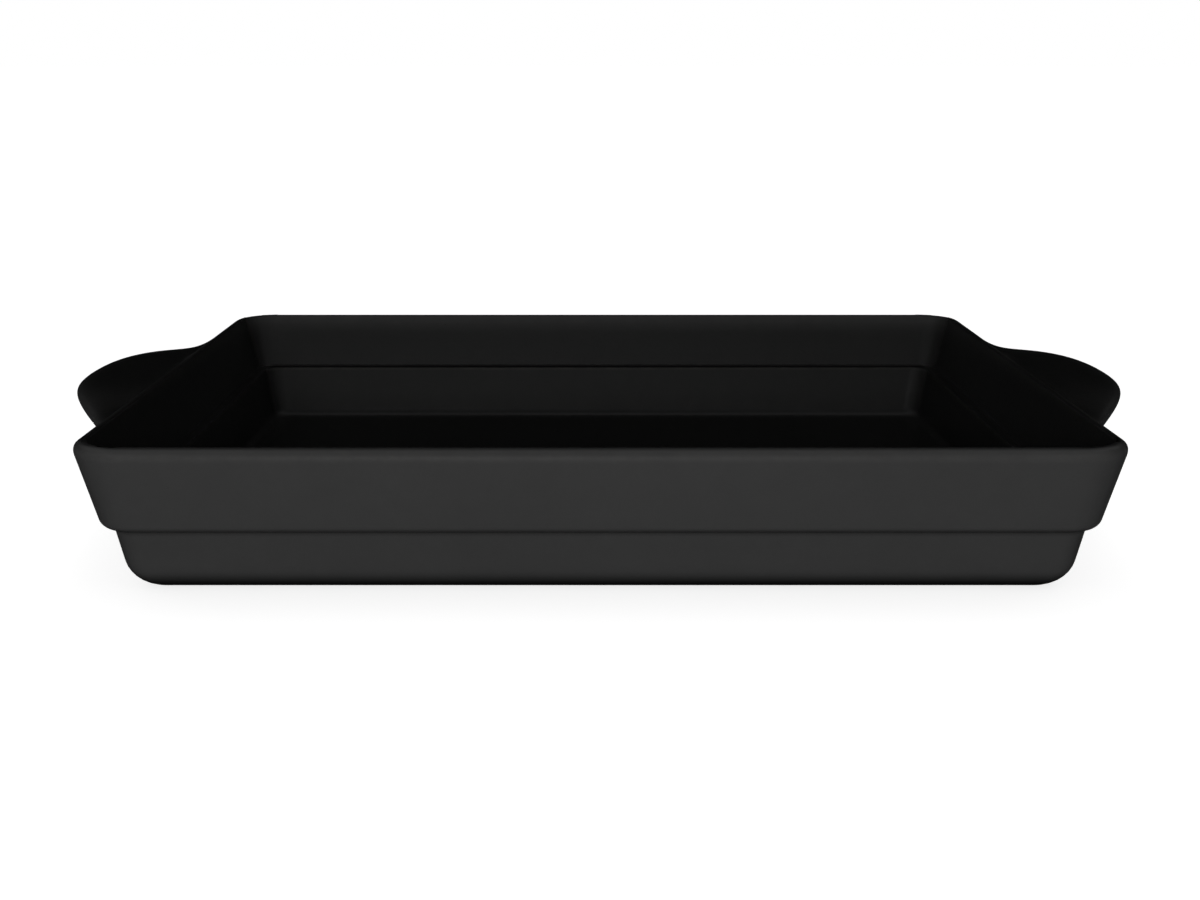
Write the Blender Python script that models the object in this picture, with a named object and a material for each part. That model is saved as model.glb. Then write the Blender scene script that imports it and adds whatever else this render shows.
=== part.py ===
"""Rectangular stoneware baking dish with two tongue handles.

Metres, +Z up. X runs along the dish, from handle to handle, and Y across it. The origin is on the
surface that the dish stands on, under its centre. The dish has two tiers: a shallow basin, and a
flared band that laps round the outside of the basin's wall, so that a step shows outside and a
ledge inside. A handle is luted to the band on each short side.
"""
import math

import bmesh
import bpy
from mathutils import Vector

# Outline and height, measured over the rounded rim
RIM_LENGTH = 0.360
RIM_WIDTH = 0.284
HEIGHT = 0.055
RIM_CORNER_RADIUS = 0.0205
INNER_CORNER_SQUARING = 0.0045
LEAST_CORNER_RADIUS = 0.008

# Band, the upper tier
BAND_DRAFT = math.radians(15.2)
BAND_THICKNESS = 0.0060
RIM_OUTER_ROUND = 0.0038
RIM_INNER_ROUND = 0.0012
BAND_EDGE_ROUND = 0.0042

# Basin, the lower tier
STEP_HEIGHT = 0.0236
STEP_DEPTH = 0.0040
LAP_HEIGHT = 0.0069
LEDGE_WIDTH = 0.0041
LEDGE_EDGE_ROUND = 0.0007
WALL_DRAFT = math.radians(10.5)
FOOT_ROUND = 0.0130
FOOT_WIDTH = 0.0100
FOOT_RECESS = 0.0012
FLOOR_THICKNESS = 0.0058
FLOOR_FILLET = 0.0038

# Handles
HANDLE_REACH = 0.0320
HANDLE_HALF_WIDTH = 0.102
HANDLE_SHOULDER = 2.5
HANDLE_FLARE = 2.25
HANDLE_LIP_RADIUS = 0.0018
HANDLE_ROOT_DEPTH = 0.0064
HANDLE_TOP_DROP = 0.0007
HANDLE_DROOP = 0.0066
HANDLE_VALLEY = 0.0012
HANDLE_FILLET = 0.0075
HANDLE_ROOT_SKIN = 0.0004
HANDLE_END_REACH = 0.0009

# The joint between two pieces, and how finely round shapes are divided
JOINT_GAP = 0.0003
CORNER_STEPS = 9
ARC_STEPS = 5
HANDLE_STEPS = 28

# Sizes that follow from those above
BAND_SLOPE = math.tan(BAND_DRAFT)
WALL_SLOPE = math.tan(WALL_DRAFT)
RIM_CUT = RIM_OUTER_ROUND * (1 / math.cos(BAND_DRAFT) + BAND_SLOPE - 1)
LEDGE_HEIGHT = STEP_HEIGHT + LAP_HEIGHT
FLOOR_HEIGHT = FOOT_RECESS + FLOOR_THICKNESS


def band_outside(height):
    """How far the band's outer face lies inside the rim's outline at a height."""
    return (HEIGHT - height) * BAND_SLOPE - RIM_CUT


def band_inside(height):
    return band_outside(height) + BAND_THICKNESS


def wall_outside(height):
    """How far the basin's outer face, below the step, lies inside the rim's outline."""
    return band_outside(STEP_HEIGHT) + STEP_DEPTH + (STEP_HEIGHT - height) * WALL_SLOPE


def wall_inside(height):
    return band_inside(LEDGE_HEIGHT) + LEDGE_WIDTH + (LEDGE_HEIGHT - height) * WALL_SLOPE


def rounded_profile(corners):
    """Turn corners (across, up, radius) of a closed profile into points, with arcs at the corners.

    Where two arcs don't fit on the edge between them, both get a smaller radius.
    """
    count = len(corners)
    places = [Vector(corner[:2]) for corner in corners]
    arms = [((places[i - 1] - places[i]), (places[(i + 1) % count] - places[i])) for i in range(count)]
    halves = [before.angle(after) / 2 for before, after in arms]
    radii = [corner[2] for corner in corners]
    for i in range(count):
        used = radii[i - 1] / math.tan(halves[i - 1]) + radii[i] / math.tan(halves[i])
        fit = min(1, 0.96 * arms[i][0].length / used) if used else 1
        radii[i - 1] *= fit
        radii[i] *= fit
    points = []
    for place, (before, after), half, radius in zip(places, arms, halves, radii):
        if radius == 0:
            points.append(place)
            continue
        before, after = before.normalized(), after.normalized()
        centre = place + (before + after).normalized() * radius / math.sin(half)
        start = (place + before * radius / math.tan(half) - centre).normalized()
        end = (place + after * radius / math.tan(half) - centre).normalized()
        turns = [start.slerp(end, step / ARC_STEPS) for step in range(ARC_STEPS + 1)]
        points += [centre + turn * radius for turn in turns]
    return points


def outline(inset, height):
    """One level of the dish: the rim's rounded rectangle, drawn in by inset, at a height.

    The corners of the band's inner face are squarer than those of its outer face.
    """
    inner = height > LEDGE_HEIGHT - JOINT_GAP and inset > band_outside(height) + BAND_THICKNESS / 2
    radius = max(RIM_CORNER_RADIUS - inset - INNER_CORNER_SQUARING * inner, LEAST_CORNER_RADIUS)
    across = RIM_LENGTH / 2 - inset - radius
    along = RIM_WIDTH / 2 - inset - radius
    points = []
    for quarter, (side_x, side_y) in enumerate([(1, 1), (-1, 1), (-1, -1), (1, -1)]):
        for step in range(CORNER_STEPS + 1):
            angle = math.pi / 2 * (quarter + step / CORNER_STEPS)
            x = side_x * across + radius * math.cos(angle)
            y = side_y * along + radius * math.sin(angle)
            points.append((x, y, height))
    return points


def loft(name, rings, closed):
    """A mesh through rings of equal count, joined end to start where closed, else capped.

    Faces point out where each ring, seen from the end of the loft, runs anticlockwise.
    """
    shape = bmesh.new()
    loops = [[shape.verts.new(point) for point in ring] for ring in rings]
    pairs = list(zip(loops, loops[1:]))
    if closed:
        pairs.append((loops[-1], loops[0]))
    else:
        shape.faces.new(reversed(loops[0]))
        shape.faces.new(loops[-1])
    for lower, upper in pairs:
        for i, vert in enumerate(lower):
            shape.faces.new((lower[i - 1], vert, upper[i], upper[i - 1]))
    mesh = bpy.data.meshes.new(name)
    shape.to_mesh(mesh)
    shape.free()
    mesh.shade_smooth()
    mesh.set_sharp_from_angle(angle=math.radians(40))
    return mesh


def basin_mesh():
    """Floor and lower wall in one, from the recess under the floor out, up and in again."""
    foot_flat = wall_outside(0) + FOOT_ROUND + FOOT_WIDTH
    lap_bottom = wall_outside(STEP_HEIGHT)
    lap_top = band_inside(LEDGE_HEIGHT) + JOINT_GAP
    profile = rounded_profile([
        (foot_flat + FOOT_RECESS, FOOT_RECESS, 0),
        (foot_flat, 0, 0),
        (wall_outside(0), 0, FOOT_ROUND),
        (lap_bottom, STEP_HEIGHT - JOINT_GAP, 0),
        (lap_bottom + JOINT_GAP, STEP_HEIGHT, 0),
        (lap_top, LEDGE_HEIGHT, 0),
        (wall_inside(LEDGE_HEIGHT), LEDGE_HEIGHT, LEDGE_EDGE_ROUND),
        (wall_inside(FLOOR_HEIGHT), FLOOR_HEIGHT, FLOOR_FILLET),
        (wall_inside(FLOOR_HEIGHT) + FLOOR_FILLET, FLOOR_HEIGHT, 0),
    ])
    return loft("basin", [outline(inset, height) for inset, height in profile], closed=False)


def band_mesh():
    """The flared collar, whose inner face turns steeper where it laps the basin's wall."""
    lap_bottom = wall_outside(STEP_HEIGHT)
    profile = rounded_profile([
        (lap_bottom, STEP_HEIGHT, 0),
        (band_outside(STEP_HEIGHT), STEP_HEIGHT, BAND_EDGE_ROUND),
        (band_outside(HEIGHT), HEIGHT, RIM_OUTER_ROUND),
        (band_inside(HEIGHT), HEIGHT, RIM_INNER_ROUND),
        (band_inside(LEDGE_HEIGHT), LEDGE_HEIGHT, 0),
    ])
    return loft("band", [outline(inset, height) for inset, height in profile], closed=True)


def handle_section(place):
    """The handle's section at place, from 0 in the middle to 1 where its reach would end.

    X is measured from the rim's outline. The root follows the band's outer face, a joint's gap
    away from it, and is deeper than the lip. The underside meets it in a hollow fillet, no taller
    than the reach.
    """
    reach = HANDLE_REACH * (1 - abs(place) ** HANDLE_SHOULDER) ** HANDLE_FLARE
    top = HEIGHT - HANDLE_TOP_DROP - HANDLE_DROOP * place ** 2
    lip_bottom = top - 2 * HANDLE_LIP_RADIUS
    root_bottom = top - HANDLE_ROOT_DEPTH
    root_end = root_bottom - min(HANDLE_FILLET, reach)

    def root(height):
        return JOINT_GAP / math.cos(BAND_DRAFT) - band_outside(height)

    valley = top - HANDLE_VALLEY
    section = rounded_profile([
        (root(valley), valley, 0),
        (reach, top, HANDLE_LIP_RADIUS),
        (reach, lip_bottom, HANDLE_LIP_RADIUS),
        (root(root_bottom) + HANDLE_ROOT_SKIN, root_bottom, HANDLE_FILLET),
        (root(root_end) + HANDLE_ROOT_SKIN, root_end, 0),
        (root(root_end), root_end, 0),
    ])
    return [(point.x, point.y) for point in section]


def handle_mesh():
    """A tongue, widest at its root, that arches from its high middle down to its two ends."""
    end_share = (HANDLE_END_REACH / HANDLE_REACH) ** (1 / HANDLE_FLARE)
    end_place = (1 - end_share) ** (1 / HANDLE_SHOULDER)
    rings = []
    for step in range(HANDLE_STEPS + 1):
        place = end_place * math.sin(math.pi * (step / HANDLE_STEPS - 0.5))
        y = place * HANDLE_HALF_WIDTH
        rings.append([(x, y, z) for x, z in handle_section(place)])
    return loft("handle", rings, closed=False)


def glazed(name, colour, roughness):
    """Black satin glaze on stoneware."""
    material = bpy.data.materials.new(name)
    material.use_nodes = True
    shader = material.node_tree.nodes["Principled BSDF"]
    shader.inputs["Base Color"].default_value = (*colour, 1)
    shader.inputs["Roughness"].default_value = roughness
    shader.inputs["Metallic"].default_value = 0
    return material


def add_piece(name, mesh, material, collection, parent, x=0, turn=0):
    piece = bpy.data.objects.new(name, mesh)
    piece.location.x = x
    piece.rotation_euler.z = turn
    piece.parent = parent
    mesh.materials.clear()
    mesh.materials.append(material)
    collection.objects.link(piece)


def build():
    for old in list(bpy.data.objects):
        bpy.data.objects.remove(old)
    collection = bpy.data.collections.new("baking_dish")
    bpy.context.scene.collection.children.link(collection)
    dish = bpy.data.objects.new("dish", None)
    collection.objects.link(dish)

    basin_glaze = glazed("basin_glaze", (0.022, 0.022, 0.022), 0.45)
    band_glaze = glazed("band_glaze", (0.024, 0.024, 0.024), 0.45)
    handle_glaze = glazed("handle_glaze", (0.023, 0.023, 0.023), 0.45)

    add_piece("lower_basin", basin_mesh(), basin_glaze, collection, dish)
    add_piece("upper_band", band_mesh(), band_glaze, collection, dish)
    handle = handle_mesh()
    add_piece("right_handle", handle, handle_glaze, collection, dish, x=RIM_LENGTH / 2)
    add_piece("left_handle", handle, handle_glaze, collection, dish, x=-RIM_LENGTH / 2, turn=math.pi)


build()
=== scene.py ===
import math

import bmesh
import bpy
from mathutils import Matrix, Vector


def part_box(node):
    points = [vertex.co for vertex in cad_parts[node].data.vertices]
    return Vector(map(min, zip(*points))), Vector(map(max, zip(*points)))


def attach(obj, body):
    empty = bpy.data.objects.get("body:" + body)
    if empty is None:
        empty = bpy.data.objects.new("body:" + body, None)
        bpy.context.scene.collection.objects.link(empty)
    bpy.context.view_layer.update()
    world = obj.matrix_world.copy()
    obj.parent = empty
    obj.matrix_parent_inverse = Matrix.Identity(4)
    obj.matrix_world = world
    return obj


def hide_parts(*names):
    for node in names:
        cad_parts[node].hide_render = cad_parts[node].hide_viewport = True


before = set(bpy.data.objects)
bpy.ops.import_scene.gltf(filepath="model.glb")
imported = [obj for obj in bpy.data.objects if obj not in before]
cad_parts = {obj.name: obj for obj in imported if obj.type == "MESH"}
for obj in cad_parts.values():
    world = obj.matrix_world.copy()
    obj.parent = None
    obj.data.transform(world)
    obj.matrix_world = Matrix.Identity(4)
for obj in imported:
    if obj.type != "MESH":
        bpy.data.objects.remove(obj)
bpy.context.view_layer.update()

# The basin: the dish's lower tier, of dark stoneware pressed into one piece, floor, wall and foot.
# Its wall stands on a rounded foot whose flat ring is wiped bare of glaze, round a shallow recess,
# and its flat top is the ledge that shows inside. Black satin glaze covers all but the ring.
band_low, band_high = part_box("upper_band")
RIM_HALF_LENGTH = band_high.x
RIM_HALF_WIDTH = band_high.y
DISH_HEIGHT = band_high.z
STEP_HEIGHT = band_low.z
LEDGE_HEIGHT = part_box("lower_basin")[1].z

RIM_CORNER = 0.0205
INNER_SQUARING = 0.0045
TIGHTEST_CORNER = 0.008
BAND_LEAN = math.tan(math.radians(15.2))
BAND_THICKNESS = 0.0060
RIM_OUTER_ROUND = 0.0038
RIM_OVERHANG = RIM_OUTER_ROUND * (math.sqrt(1 + BAND_LEAN ** 2) + BAND_LEAN - 1)
STEP_DEPTH = 0.0040
WALL_LEAN = math.tan(math.radians(10.5))
LEDGE_WIDTH = 0.0041
LEDGE_EDGE_ROUND = 0.0007
FLOOR_HEIGHT = 0.0070
FLOOR_FILLET = 0.0038
FOOT_ROUND = 0.0130
FOOT_RING_WIDTH = 0.0100
FOOT_EDGE_ROUND = 0.0005
RECESS_DEPTH = 0.0012
RECESS_EDGE_ROUND = 0.0008
# How far the basin runs on inside the band, out of sight
TUCK = 0.0015

CORNER_SEGMENTS = 16
ROUND_SEGMENTS = 8
ROUND_PROFILE = 0.5
SMOOTH_ANGLE = math.radians(35)
# How far a ring is lifted while it is bridged, and how near a point has to be to count as on a ring
LIFT = 0.001
SAME_PLACE = 1e-5
NEAR_RING = 1e-4


def band_face(height):
    """How far the band's outer face lies inside the rim's outline, at a height."""
    return (DISH_HEIGHT - height) * BAND_LEAN - RIM_OVERHANG


def wall_face(height):
    """The same for the outer face of the basin's wall."""
    return band_face(STEP_HEIGHT) + STEP_DEPTH + (STEP_HEIGHT - height) * WALL_LEAN


def wall_inside(height):
    """The same for the inner face of the basin's wall."""
    ledge_edge = band_face(LEDGE_HEIGHT) + BAND_THICKNESS + LEDGE_WIDTH
    return ledge_edge + (LEDGE_HEIGHT - height) * WALL_LEAN


def start_piece(name):
    """Begin an empty piece and stay in its edit mode."""
    bpy.ops.object.select_all(action="DESELECT")
    bpy.ops.mesh.primitive_plane_add(size=1)
    bpy.context.object.name = name
    bpy.ops.object.mode_set(mode="EDIT")
    bpy.ops.mesh.select_mode(type="VERT")
    bpy.ops.mesh.delete(type="VERT")
    return bpy.context.object


def pick(test):
    """Select the vertices where test is true, with the edges and faces between them."""
    bpy.ops.mesh.select_all(action="DESELECT")
    shape = bmesh.from_edit_mesh(bpy.context.object.data)
    for vert in shape.verts:
        vert.select = test(vert.co)
    shape.select_flush_mode()
    bmesh.update_edit_mesh(bpy.context.object.data)


def corner_radius(level):
    """A level's corners follow the rim's at one distance, but the band's inner face is squarer."""
    inset, height = level[:2]
    inner = height > LEDGE_HEIGHT - LIFT and inset > band_face(height) + BAND_THICKNESS / 2
    return max(RIM_CORNER - inset - INNER_SQUARING * inner, TIGHTEST_CORNER)


def on_level(level):
    """The test for pick that finds the ring of one level of the dish."""
    inset, height = level[:2]
    corner = corner_radius(level)

    def test(place):
        across = RIM_HALF_LENGTH - inset - corner - abs(place.x)
        along = RIM_HALF_WIDTH - inset - corner - abs(place.y)
        inside = -math.hypot(across, along) if across < 0 and along < 0 else min(across, along)
        return abs(place.z - height) < SAME_PLACE and abs(corner + inside) < NEAR_RING

    return test


def ring(level):
    """Draw one level of the dish: a plane with its corners rounded, kept only as its edge."""
    inset, height = level[:2]
    bpy.ops.mesh.select_all(action="DESELECT")
    bpy.ops.mesh.primitive_plane_add(size=2, location=(0, 0, height))
    bpy.ops.transform.resize(value=(RIM_HALF_LENGTH - inset, RIM_HALF_WIDTH - inset, 1))
    bpy.ops.mesh.bevel(
        affect="VERTICES",
        offset=corner_radius(level),
        segments=CORNER_SEGMENTS,
        profile=ROUND_PROFILE,
    )
    bpy.ops.mesh.delete(type="ONLY_FACE")


def bridge(one, other):
    """Join two levels' rings, the second lifted, as rings of one height would twist."""
    lifted = (other[0], other[1] + LIFT)
    pick(on_level(other))
    bpy.ops.transform.translate(value=(0, 0, LIFT))
    pick(lambda place: on_level(one)(place) or on_level(lifted)(place))
    bpy.ops.mesh.bridge_edge_loops()
    pick(on_level(lifted))
    bpy.ops.transform.translate(value=(0, 0, -LIFT))


def draw_levels(levels, closed):
    """Draw levels and join each to the next, and where closed is true the last to the first."""
    for level in levels:
        ring(level)
    following = levels[1:] + levels[:1] if closed else levels[1:]
    for one, other in zip(levels, following):
        bridge(one, other)


def round_levels(levels):
    """Bevel the ring of each level that has a radius, as far as makes an arc of that radius."""
    count = len(levels)
    for i, level in enumerate(levels):
        if len(level) < 3:
            continue
        here, before, after = (Vector(levels[k % count][:2]) for k in (i, i - 1, i + 1))
        turn = (here - before).angle(after - here)
        reach = level[2] * math.tan(turn / 2)
        pick(on_level(level))
        bpy.ops.mesh.bevel(offset=reach, segments=ROUND_SEGMENTS, profile=ROUND_PROFILE)


def finish_piece():
    """Turn a piece's faces outwards, leave its edit mode and shade it smooth."""
    bpy.ops.mesh.select_all(action="SELECT")
    bpy.ops.mesh.normals_make_consistent(inside=False)
    bpy.ops.object.mode_set(mode="OBJECT")
    bpy.ops.object.shade_smooth_by_angle(angle=SMOOTH_ANGLE)


# The basin's section, from the recess under the floor out, up and in again: how far each corner
# lies inside the rim's outline, its height, and its radius where it is rounded
foot_flat = wall_face(0) + FOOT_ROUND + FOOT_RING_WIDTH
basin_levels = [
    (foot_flat + RECESS_DEPTH, RECESS_DEPTH, RECESS_EDGE_ROUND),
    (foot_flat, 0, FOOT_EDGE_ROUND),
    (wall_face(0), 0, FOOT_ROUND),
    (wall_face(STEP_HEIGHT + TUCK), STEP_HEIGHT + TUCK),
    (band_face(LEDGE_HEIGHT) + BAND_THICKNESS - TUCK, LEDGE_HEIGHT),
    (wall_inside(LEDGE_HEIGHT), LEDGE_HEIGHT, LEDGE_EDGE_ROUND),
    (wall_inside(FLOOR_HEIGHT), FLOOR_HEIGHT, FLOOR_FILLET),
    (wall_inside(FLOOR_HEIGHT) + 2 * FLOOR_FILLET, FLOOR_HEIGHT),
]
basin = start_piece("basin")
draw_levels(basin_levels, closed=False)
for end in (basin_levels[0], basin_levels[-1]):
    pick(on_level(end))
    bpy.ops.mesh.edge_face_add()
round_levels(basin_levels)
finish_piece()


class Socket:
    """A socket of a material's nodes that takes part in sums as a number does."""

    def __init__(self, tree, socket):
        self.tree = tree
        self.socket = socket

    def node(self, kind, inputs, settings=None, output=0):
        """Add a node with its settings and its inputs' values or links, and give its output."""
        made = self.tree.nodes.new("ShaderNode" + kind)
        for name, setting in (settings or {}).items():
            setattr(made, name, setting)
        for name, value in inputs.items():
            if isinstance(value, Socket):
                self.tree.links.new(value.socket, made.inputs[name])
            else:
                made.inputs[name].default_value = value
        return Socket(self.tree, made.outputs[output])

    def math(self, operation, *values):
        return self.node("Math", dict(enumerate(values)), {"operation": operation})

    def __add__(self, other):
        return self.math("ADD", self, other)

    __radd__ = __add__

    def __sub__(self, other):
        return self.math("SUBTRACT", self, other)

    def __rsub__(self, other):
        return self.math("SUBTRACT", other, self)

    def __mul__(self, other):
        return self.math("MULTIPLY", self, other)

    __rmul__ = __mul__

    def __abs__(self):
        return self.math("ABSOLUTE", self)

    def larger(self, other):
        return self.math("MAXIMUM", self, other)

    def between(self, low, high):
        """Rise smoothly from 0 where this is low to 1 where it is high."""
        ends = {"Value": self, "From Min": low, "From Max": high}
        return self.node("MapRange", ends, {"interpolation_type": "SMOOTHSTEP"})

    def ridge(self, low, full, ebb, high):
        """Rise smoothly from 0 at low to 1 at full, and fall again from ebb to high."""
        return self.between(low, full) - self.between(ebb, high)

    def mix(self, one, other):
        """A colour that goes from one to other as this goes from 0 to 1."""
        one, other = (end if isinstance(end, Socket) else (*end, 1) for end in (one, other))
        return self.node("Mix", {0: self, 6: one, 7: other}, {"data_type": "RGBA"}, output=2)


BASIN_BLACK = (0.022, 0.022, 0.022)
GLAZE_ROUGHNESS = 0.38
GLAZE_GLOSS = 0.20
# Cells to the metre in each pattern of the glaze, from wide clouds to fine grain
CLOUD_SCALE = 17
PIT_SCALE = 95
MOTTLE_SCALE = 140
PEEL_SCALE = 420
GRAIN_SCALE = 1500
# How much each pattern adds to the glaze's tone and its roughness
PLAIN_TONE = 0.86
CLOUD_TONE = 0.16
MOTTLE_TONE = 0.10
GRAIN_TONE = 0.04
CLOUD_ROUGHNESS = 0.10
GRAIN_ROUGHNESS = 0.08
# The lowest and highest tone, and what each makes of the black
TONE_RANGE = (0.80, 1.20)
DARKEST = 0.86
LIGHTEST = 1.16
# The dimples and pinholes in the glaze: how high, how deep, and how wide as a share of a cell
PEEL_RELIEF = 0.00006
MOTTLE_RELIEF = 0.00002
PIT_DEPTH = 0.00012
PIT_EDGE = (0.010, 0.045)
# Edges lightened, partly by thin glaze and partly as a painted highlight: how much the mottle
# breaks it up, and what it does
BREAK_AND_HIGHLIGHT_MOTTLE = (0.36, 0.62)
BREAK_AND_HIGHLIGHT_LEAST = 0.5
BREAK_AND_HIGHLIGHT_SHARE = 0.8
BREAK_AND_HIGHLIGHT_TINT = (1.8, 1.75, 1.7)
THIN_SMOOTHING = 0.05
# Painted shade over the foot, under the step and on the ledge: how far from each it is still full,
# and is gone
PAINTED_SHADE = 0.06
FOOT_SHADE_HEIGHTS = (0.0010, 0.0085)
STEP_SHADE_REACH = (0.0002, 0.0022)
STEP_SHADE_SHARE = 0.55
LEDGE_SHADE_REACH = (0.0002, 0.0006)
LEDGE_END_LOSS = 0.8
# Seen from above, how far in from the rim's outline each painted shade begins or ends, and how
# softly
FOOT_INSET = 0.0325
STEP_INSET = 0.0145
LEDGE_INSET = 0.0106
LEDGE_END_INSET = 0.0165
INSET_SOFTNESS = 0.0005
END_SOFTNESS = 0.001
# The bare clay of the foot ring
CLAY = (0.19, 0.15, 0.12)
CLAY_ROUGHNESS = 0.86
CLAY_SCALE = 700
CLAY_GRAIN = (0.3, 0.7)
CLAY_DARKEST = 0.8
CLAY_LIGHTEST = 1.2
CLAY_RELIEF = 0.0001
RING_TOP = (0.0004, 0.0007)
# Heights between which the ledge's inner edge is lightened, partly thin glaze and partly a painted
# highlight
LEDGE_EDGE_HEIGHTS = (0.0288, 0.0296, 0.0299, 0.0303)


def shade(colour, factor):
    return [part * factor for part in colour]


def glaze(piece, name, black, edge, gloss=GLAZE_GLOSS, bare=False):
    """Black satin glaze, lighter and a little warmer over edges, partly thinned glaze and partly a
    painted highlight, with painted shade over the foot, under the step and on the ledge.

    Edge gives how far a place is on a sharp edge, from its across and height. Where bare is true
    the foot ring shows its clay.
    """
    material = bpy.data.materials.new(name)
    material.use_nodes = True
    tree = material.node_tree
    shader = tree.nodes["Principled BSDF"]
    shader.inputs["Specular IOR Level"].default_value = gloss
    start = Socket(tree, None)
    place = start.node("TexCoord", {}, output="Object")
    across, along, height = (start.node("SeparateXYZ", {0: place}, output=axis) for axis in "XYZ")

    def noise(scale, detail, roughness=0.5):
        inputs = {"Vector": place, "Scale": scale, "Detail": detail, "Roughness": roughness}
        return start.node("TexNoise", inputs)

    def outside(inset):
        """1 where a place, seen from above, is nearer than inset to the rim's outline, else 0."""
        past_side = abs(along) - (RIM_HALF_WIDTH - inset)
        past = (abs(across) - (RIM_HALF_LENGTH - inset)).larger(past_side)
        return past.between(-INSET_SOFTNESS, INSET_SOFTNESS)

    cloud = noise(CLOUD_SCALE, 3)
    mottle = noise(MOTTLE_SCALE, 4, 0.6)
    grain = noise(GRAIN_SCALE, 2)
    peel = noise(PEEL_SCALE, 2)
    spots = {"Vector": place, "Scale": PIT_SCALE}
    pits = start.node("TexVoronoi", spots, {"distance": "EUCLIDEAN"})
    pinhole = 1 - pits.between(*PIT_EDGE)

    tone = PLAIN_TONE + CLOUD_TONE * cloud + MOTTLE_TONE * mottle + GRAIN_TONE * grain
    colour = tone.between(*TONE_RANGE).mix(shade(black, DARKEST), shade(black, LIGHTEST))
    # Edges are lightened and warmed: partly thin glaze, and on the rim and the ledge's edge a
    # painted highlight
    broken = BREAK_AND_HIGHLIGHT_LEAST + (1 - BREAK_AND_HIGHLIGHT_LEAST) * mottle.between(*BREAK_AND_HIGHLIGHT_MOTTLE)
    thin_and_highlight = edge(across, height) * broken
    colour = (thin_and_highlight * BREAK_AND_HIGHLIGHT_SHARE).mix(colour, [c * k for c, k in zip(black, BREAK_AND_HIGHLIGHT_TINT)])

    # Painted shade: the glaze is darkened over the foot, in the crease under the step and on the
    # ledge's top, where shade falls
    foot_shade = (1 - height.between(*FOOT_SHADE_HEIGHTS)) * outside(FOOT_INSET)
    step_shade = (1 - abs(height - STEP_HEIGHT).between(*STEP_SHADE_REACH)) * outside(STEP_INSET)
    ledge_shade = 1 - abs(height - LEDGE_HEIGHT).between(*LEDGE_SHADE_REACH)
    ledge_shade = ledge_shade * (1 - outside(LEDGE_INSET))
    past_end = abs(across) - (RIM_HALF_LENGTH - LEDGE_END_INSET)
    ledge_shade = ledge_shade * (1 - LEDGE_END_LOSS * past_end.between(-END_SOFTNESS, END_SOFTNESS))
    painted_shade = foot_shade.larger(STEP_SHADE_SHARE * step_shade).larger(ledge_shade)
    colour = painted_shade.mix(colour, shade(black, PAINTED_SHADE))

    rough = GLAZE_ROUGHNESS + CLOUD_ROUGHNESS * (cloud - 0.5) + GRAIN_ROUGHNESS * (grain - 0.5)
    rough = rough - THIN_SMOOTHING * thin_and_highlight
    relief = PEEL_RELIEF * peel + MOTTLE_RELIEF * mottle - PIT_DEPTH * pinhole
    if bare:
        clay_grain = noise(CLAY_SCALE, 5, 0.7)
        clay_shades = shade(CLAY, CLAY_DARKEST), shade(CLAY, CLAY_LIGHTEST)
        ring_clay = 1 - height.between(*RING_TOP)
        colour = ring_clay.mix(colour, clay_grain.between(*CLAY_GRAIN).mix(*clay_shades))
        rough = rough + ring_clay * (CLAY_ROUGHNESS - GLAZE_ROUGHNESS)
        relief = relief + CLAY_RELIEF * clay_grain * ring_clay
    bump = start.node("Bump", {"Height": relief, "Strength": 1.0, "Distance": 1.0})
    for value, socket in ((colour, "Base Color"), (rough, "Roughness"), (bump, "Normal")):
        tree.links.new(value.socket, shader.inputs[socket])
    piece.data.materials.clear()
    piece.data.materials.append(material)


# The ledge's inner edge, lightened by thin glaze and a painted highlight
def ledge_edge(across, height):
    return height.ridge(*LEDGE_EDGE_HEIGHTS)


glaze(basin, "basin_glaze", BASIN_BLACK, ledge_edge, bare=True)
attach(basin, "root")
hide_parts("lower_basin")

# The band: the flared collar that makes the dish's upper tier, of the same clay, thrown over the
# outside of the basin's wall and luted there with slip. Its rim is rounded, and under the glaze
# its two joints with the basin are only soft corners.
RIM_INNER_ROUND = 0.0012
BAND_EDGE_ROUND = 0.0042
SEAM_FILLET = 0.0009
LEDGE_FILLET = 0.0006
# How far the soft corners run out over the basin, and how thick their thinnest part is
SEAM_TOE = 0.0013
LEDGE_TOE = 0.0010
GLAZE_SKIN = 0.00004
BAND_BLACK = (0.024, 0.024, 0.024)
# Heights between which the rim's round is lightened, inside and out: a painted highlight, partly
# also thin glaze
RIM_HEIGHTS = (0.0500, 0.0522, 0.0538, 0.0550)
RIM_HIGHLIGHT_AND_THIN = 0.22

band_inner = band_face(LEDGE_HEIGHT) + BAND_THICKNESS
band_levels = [
    (wall_face(STEP_HEIGHT - SEAM_TOE) - GLAZE_SKIN, STEP_HEIGHT - SEAM_TOE),
    (wall_face(STEP_HEIGHT) - GLAZE_SKIN, STEP_HEIGHT, SEAM_FILLET),
    (band_face(STEP_HEIGHT), STEP_HEIGHT, BAND_EDGE_ROUND),
    (band_face(DISH_HEIGHT), DISH_HEIGHT, RIM_OUTER_ROUND),
    (band_face(DISH_HEIGHT) + BAND_THICKNESS, DISH_HEIGHT, RIM_INNER_ROUND),
    (band_inner, LEDGE_HEIGHT + GLAZE_SKIN, LEDGE_FILLET),
    (band_inner + LEDGE_TOE, LEDGE_HEIGHT + GLAZE_SKIN),
]


# The rim's round, lightened as a painted highlight with a little thin glaze
def rim_edge(across, height):
    return RIM_HIGHLIGHT_AND_THIN * height.ridge(*RIM_HEIGHTS)


band = start_piece("band")
draw_levels(band_levels, closed=True)
round_levels(band_levels)
finish_piece()
glaze(band, "band_glaze", BAND_BLACK, rim_edge)
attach(band, "root")
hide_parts("upper_band")

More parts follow.
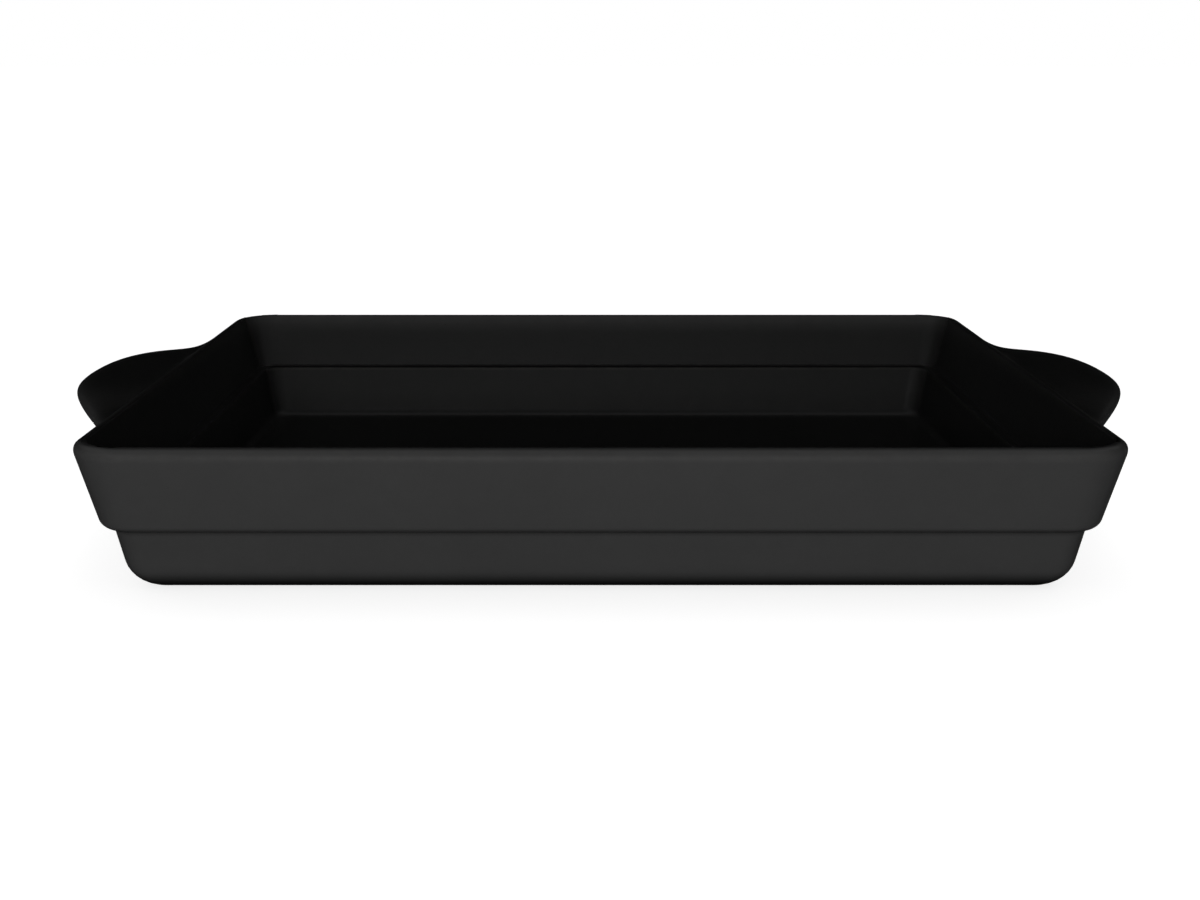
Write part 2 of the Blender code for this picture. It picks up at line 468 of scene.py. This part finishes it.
# The handles: two tongues of the same clay, pulled wide and flat, arched along the dish and luted
# to the band just under its rim. Each flows into the band in a hollow above and below.
handle_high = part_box("right_handle")[1]
HANDLE_REACH = handle_high.x - RIM_HALF_LENGTH
HANDLE_TOP_DROP = DISH_HEIGHT - handle_high.z
HANDLE_HALF_WIDTH = 0.102
HANDLE_SHOULDER = 2.5
HANDLE_FLARE = 2.25
HANDLE_THICKNESS = 0.0064
# How far a handle's top lies under its middle, at places along it from 0, the middle, to 1, an end
HANDLE_LINE = [
    (0, 0),
    (0.3, 0.0001),
    (0.45, 0.0009),
    (0.6, 0.0031),
    (0.7, 0.0045),
    (0.8, 0.0042),
    (0.9, 0.0024),
    (1.1, 0.0010),
]
# Where along a handle its root begins to rise to the rim, where it has risen, and how high that is
NECK_FROM = 0.5
NECK_TO = 0.85
NECK_HEIGHT = 0.0538
# The hollow under the root: how tall it is, the share of that which is lost towards the ends, and
# the share of the reach at which its middle stands out
HANDLE_FILLET = 0.0075
FILLET_LOSS = 0.6
FILLET_SHARE = 0.03
# How far over the top the cage meets the band, how deep in the band its first and last rows lie,
# and how far the first row drops there and the last one rises
ROOT_RISE = 0.00045
ROOT_BURIED = 0.0025
FIRST_ROW_DROP = 0.0005
LAST_ROW_RISE = 0.0003
# Rows of the cage: share of the reach, then height over the top or over the bottom
TOP_ROWS = [
    (0.03, -0.0010),
    (0.17, -0.0006),
    (0.50, 0.0004),
    (0.78, 0.0005),
    (0.95, -0.0003),
    (1.01, -0.0018),
]
LOW_ROWS = [(1.0, 0.0030), (0.90, 0.0012), (0.45, 0.0), (0.12, -0.0003)]
# Sections from a handle's middle to its end, and how far past its end it sinks into the band
HANDLE_STATIONS = 12
HANDLE_SINK = 0.03
HANDLE_SMOOTHING = 2
HANDLE_BLACK = (0.023, 0.023, 0.023)
HANDLE_GLOSS = 0.08
# Distances from the dish's middle between which the glaze grows thin on a handle's lip
LIP_REACH = (0.2112, 0.2122)


def rim_side(height):
    """How far the band's side stands out from the rim's outline at a height, rim round included."""
    rise = height - (DISH_HEIGHT - RIM_OUTER_ROUND)
    if rise < -RIM_OUTER_ROUND * math.sin(math.atan(BAND_LEAN)):
        return -band_face(height)
    return math.sqrt(max(RIM_OUTER_ROUND ** 2 - rise ** 2, 0)) - RIM_OUTER_ROUND


def handle_section(place):
    """The cage of a handle at a place, 0 in its middle and 1 at its ends, as across and height."""
    end = abs(place)
    share = (1 - end ** HANDLE_SHOULDER) ** HANDLE_FLARE if end < 1 else -HANDLE_SINK
    pairs = zip(HANDLE_LINE, HANDLE_LINE[1:])
    (near, near_drop), (far, far_drop) = [pair for pair in pairs if pair[0][0] <= end][-1]
    drop = near_drop + (far_drop - near_drop) * (end - near) / (far - near)
    top = DISH_HEIGHT - HANDLE_TOP_DROP - drop
    risen = min(max((end - NECK_FROM) / (NECK_TO - NECK_FROM), 0), 1)
    neck = max(NECK_HEIGHT - top, 0) * risen ** 2 * (3 - 2 * risen)
    bottom = top - HANDLE_THICKNESS
    root = bottom - HANDLE_FILLET * (1 - FILLET_LOSS * end ** 2)

    def row(part, height):
        side = rim_side(height)
        return side + (HANDLE_REACH - side) * share * part, height

    leave = top + ROOT_RISE + neck
    rows = [(rim_side(leave) - ROOT_BURIED, leave - FIRST_ROW_DROP), (rim_side(leave), leave)]
    rows += [row(part, top + over + neck * (1 - part) ** 2) for part, over in TOP_ROWS]
    rows += [row(part, bottom + over) for part, over in LOW_ROWS]
    rows += [row(FILLET_SHARE, (bottom + root) / 2), row(0, root)]
    rows += [(rim_side(root) - ROOT_BURIED, root + LAST_ROW_RISE)]
    return rows


def at_stations(*ends):
    """The test for pick that finds a handle's sections at some places along it."""
    return lambda spot: min(abs(spot.y - end * HANDLE_HALF_WIDTH) for end in ends) < SAME_PLACE


def lip_edge(across, height):
    return abs(across).between(*LIP_REACH)


def handle(name, node, side):
    """Model a handle as a cage of sections along it, smooth the cage, and glaze it."""
    steps = range(-HANDLE_STATIONS, HANDLE_STATIONS + 1)
    places = [math.sin(math.pi / 2 * step / HANDLE_STATIONS) for step in steps]
    places = [-1 - HANDLE_SINK] + places + [1 + HANDLE_SINK]
    piece = start_piece(name)
    for place in places:
        section = handle_section(place)
        bpy.ops.mesh.select_all(action="DESELECT")
        bpy.ops.mesh.primitive_circle_add(vertices=len(section), radius=HANDLE_THICKNESS)
        shape = bmesh.from_edit_mesh(piece.data)
        for vert, (across, height) in zip([v for v in shape.verts if v.select], section):
            vert.co = (side * (RIM_HALF_LENGTH + across), place * HANDLE_HALF_WIDTH, height)
        bmesh.update_edit_mesh(piece.data)
    for one, other in zip(places, places[1:]):
        pick(at_stations(one, other))
        bpy.ops.mesh.bridge_edge_loops()
    for end in (places[0], places[-1]):
        pick(at_stations(end))
        bpy.ops.mesh.edge_face_add()
    finish_piece()
    smooth = piece.modifiers.new("smooth", "SUBSURF")
    smooth.levels = smooth.render_levels = HANDLE_SMOOTHING
    bpy.ops.object.modifier_apply(modifier=smooth.name)
    bpy.ops.object.shade_smooth()
    glaze(piece, node + "_glaze", HANDLE_BLACK, lip_edge, gloss=HANDLE_GLOSS)
    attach(piece, "root")
    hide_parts(node)


handle("handle_right", "right_handle", 1)
handle("handle_left", "left_handle", -1)

# The set: a white floor without an end, and soft lamps. The photograph's glaze mirrors a dark
# studio, so the lamps that bring out its colour aren't mirrored in it, the floor and the white
# round about hardly are, and the lamps called sheen are there only to be mirrored.
FLOOR_RADIUS = 30.0
FLOOR_SIDES = 64
FLOOR_DROP = 0.0001
# How pale the floor is to the lamps, and the share of it that the glaze mirrors
PAPER_GREY = 0.5
LIT_MIRRORED = 0.1
# The share of the floor's own white that the glaze mirrors, how dark the shade under the dish is,
# and how far it reaches
WHITE_MIRRORED = 0.012
SHADE_SEEN = 0.25
SHADE_REACH = 0.05
SHADE_SAMPLES = 8
# How strongly the white round about lights the dish
FILL = 0.02
CAMERA_PLACE = (-0.0040, -0.6437, 0.1811)
CAMERA_PITCH = 0.246
FOCAL_PIXELS = 1567.6
SENSOR_WIDTH = 36
PHOTO_WIDTH = 1200
PHOTO_CENTRE = 588.8
DISH_MIDDLE = (0, 0, 0.03)
WHITE = (1, 1, 1, 1)
RAYS = ("Is Camera Ray", "Is Glossy Ray", "Is Transmission Ray")

bpy.ops.object.select_all(action="DESELECT")
bpy.ops.mesh.primitive_circle_add(
    vertices=FLOOR_SIDES, radius=FLOOR_RADIUS, fill_type="NGON", location=(0, 0, -FLOOR_DROP)
)
floor = bpy.context.object
floor.name = "floor"
bpy.ops.object.transform_apply(location=True)
paper = bpy.data.materials.new("paper")
paper.use_nodes = True
tree = paper.node_tree
tree.nodes.clear()
start = Socket(tree, None)
seen, mirrored, through = (start.node("LightPath", {}, output=ray) for ray in RAYS)
reach = {"Distance": SHADE_REACH}
open_air = start.node("AmbientOcclusion", reach, {"samples": SHADE_SAMPLES}, output="AO")
shown = (seen + through) * (1 - SHADE_SEEN * (1 - open_air))
shown = shown + mirrored * open_air * open_air * WHITE_MIRRORED
lit = start.node("BsdfDiffuse", {"Color": PAPER_GREY * (1 - (1 - LIT_MIRRORED) * mirrored)})
white = start.node("Emission", {"Color": WHITE, "Strength": shown})
both = start.node("AddShader", {0: lit, 1: white})
output = tree.nodes.new("ShaderNodeOutputMaterial")
tree.links.new(both.socket, output.inputs["Surface"])
floor.data.materials.append(paper)

world = bpy.data.worlds.new("studio")
bpy.context.scene.world = world
world.use_nodes = True
tree = world.node_tree
start = Socket(tree, None)
seen, mirrored, through = (start.node("LightPath", {}, output=ray) for ray in RAYS)
background = tree.nodes["Background"]
background.inputs["Color"].default_value = WHITE
strength = (seen + through) * (1 - FILL) + (1 - mirrored) * FILL
tree.links.new(strength.socket, background.inputs["Strength"])


def lamp(name, place, target, size, power, diffuse=True, glossy=False):
    """A soft oblong lamp, which the glaze mirrors only where glossy is true."""
    light = bpy.data.lights.new(name, "AREA")
    light.shape = "RECTANGLE"
    light.size, light.size_y = size
    light.energy = power
    holder = bpy.data.objects.new(name, light)
    holder.location = place
    holder.rotation_euler = (Vector(target) - Vector(place)).to_track_quat("-Z", "Y").to_euler()
    holder.visible_camera = False
    holder.visible_diffuse = diffuse
    holder.visible_glossy = glossy
    bpy.context.scene.collection.objects.link(holder)


def sheen(name, place, target, size, power):
    """A lamp that is only mirrored."""
    lamp(name, place, target, size, power, diffuse=False, glossy=True)


lamp("front_low", (-0.1, -1.6, 0.052), (0, 0, 0.05), (0.8, 0.10), 24.6)
lamp("front_high", (-0.12, -1.6, 0.38), DISH_MIDDLE, (0.8, 0.25), 6.0)
lamp("front_sheen", (-0.12, -1.6, 0.72), DISH_MIDDLE, (0.8, 0.20), 0.6, glossy=True)
lamp("back_low", (0, 1.6, 0.030), DISH_MIDDLE, (0.8, 0.05), 16)
lamp("back_high", (0, 1.6, 0.55), DISH_MIDDLE, (0.8, 0.30), 2)
for side in (-1, 1):
    lamp("side_low", (side * 1.2, 1.3, 0.030), DISH_MIDDLE, (0.8, 0.05), 18)
    sheen("back_sheen", (side * 1.5, 0.9, 1.45), (0, 0, 0), (1.0, 1.0), 1.1)
    sheen("corner_sheen", (side * 1.2, -1.2, 1.45), (0, 0, 0), (1.0, 1.0), 2)
sheen("top_sheen", (0, 0.1, 1.6), (0, 0.1, 0), (3.0, 0.9), 4.8)

camera = bpy.data.cameras.new("camera")
camera.sensor_width = SENSOR_WIDTH
camera.lens = FOCAL_PIXELS * camera.sensor_width / PHOTO_WIDTH
camera.shift_x = (PHOTO_WIDTH / 2 - PHOTO_CENTRE) / PHOTO_WIDTH
viewer = bpy.data.objects.new("camera", camera)
viewer.location = CAMERA_PLACE
viewer.rotation_euler = (math.pi / 2 - CAMERA_PITCH, 0, 0)
bpy.context.scene.collection.objects.link(viewer)
bpy.context.scene.camera = viewer
bpy.context.scene.view_settings.view_transform = "Standard"
